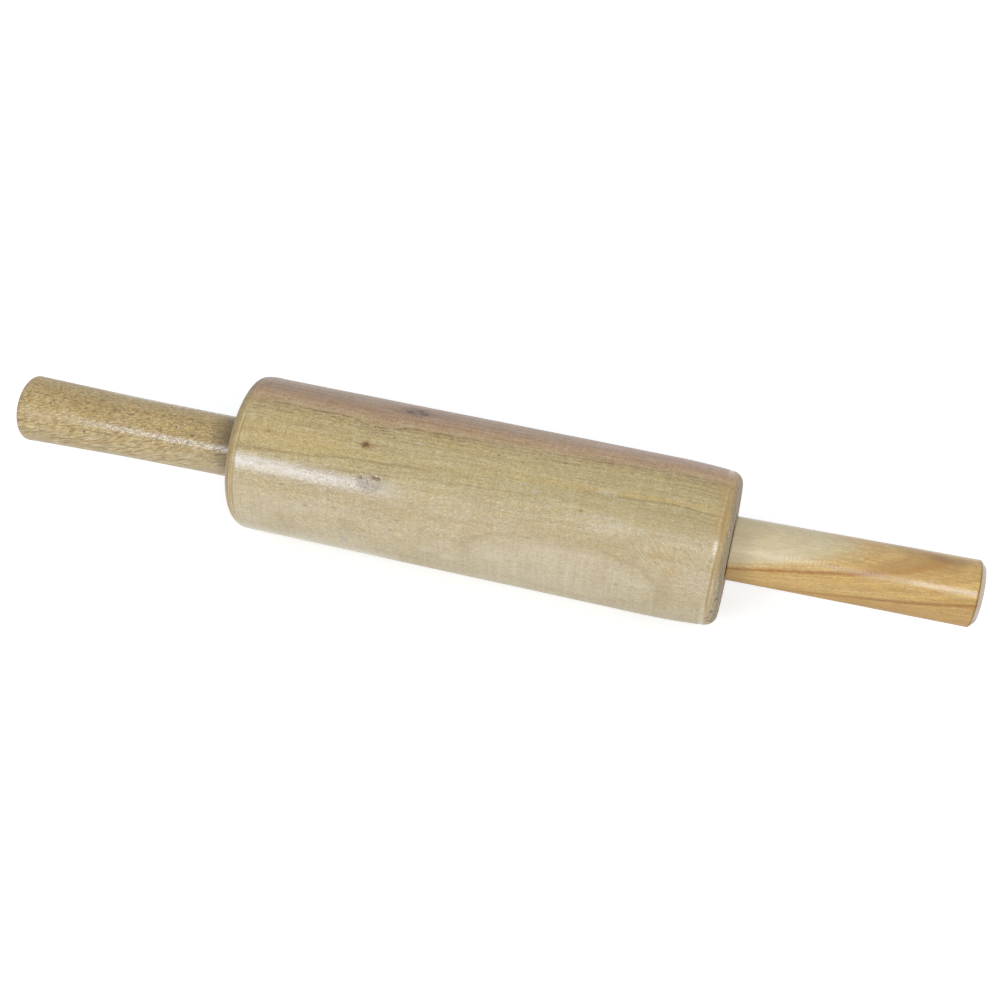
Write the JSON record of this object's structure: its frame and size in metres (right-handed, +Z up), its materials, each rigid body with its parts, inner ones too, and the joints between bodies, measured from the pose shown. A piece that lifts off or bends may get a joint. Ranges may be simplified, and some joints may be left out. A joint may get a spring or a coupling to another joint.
{
  "type": "rolling pin",
  "caption": "Turned wooden rolling pin: a thick cylindrical barrel spins on a hidden axle between two slim fixed handles, for rolling out dough.",
  "frame": {"origin": "middle of the pin's overall box, on the axle's centre line", "axes": "+X along the axle towards the shorter, right handle; +Z up from the worktop; +Y away from the viewer of the picture"},
  "size_m": [0.4334, 0.07, 0.07],
  "materials": {
    "barrel_wood": "worn clear satin varnish over pale olive-tan hardwood",
    "left_handle_wood": "clear satin varnish over mottled olive-brown hardwood",
    "right_handle_wood": "clear satin varnish over cream sapwood and orange-tan heartwood",
    "steel": "drawn bright rod and punched washers",
    "nylon": "natural moulded nylon"
  },
  "bodies": {
    "grip": {"left_handle": "left_handle_wood", "right_handle": "right_handle_wood", "axle_rod": "steel", "left_washer": "steel", "right_washer": "steel"},
    "roller": {"barrel": "barrel_wood", "left_bushing": "nylon", "right_bushing": "nylon"}
  },
  "joints": [
    {"name": "barrel_spin", "type": "hinge", "parent": "grip", "child": "roller", "pos_m": [0.00325, 0, 0], "axis": [1, 0, 0], "continuous": true}
  ]
}
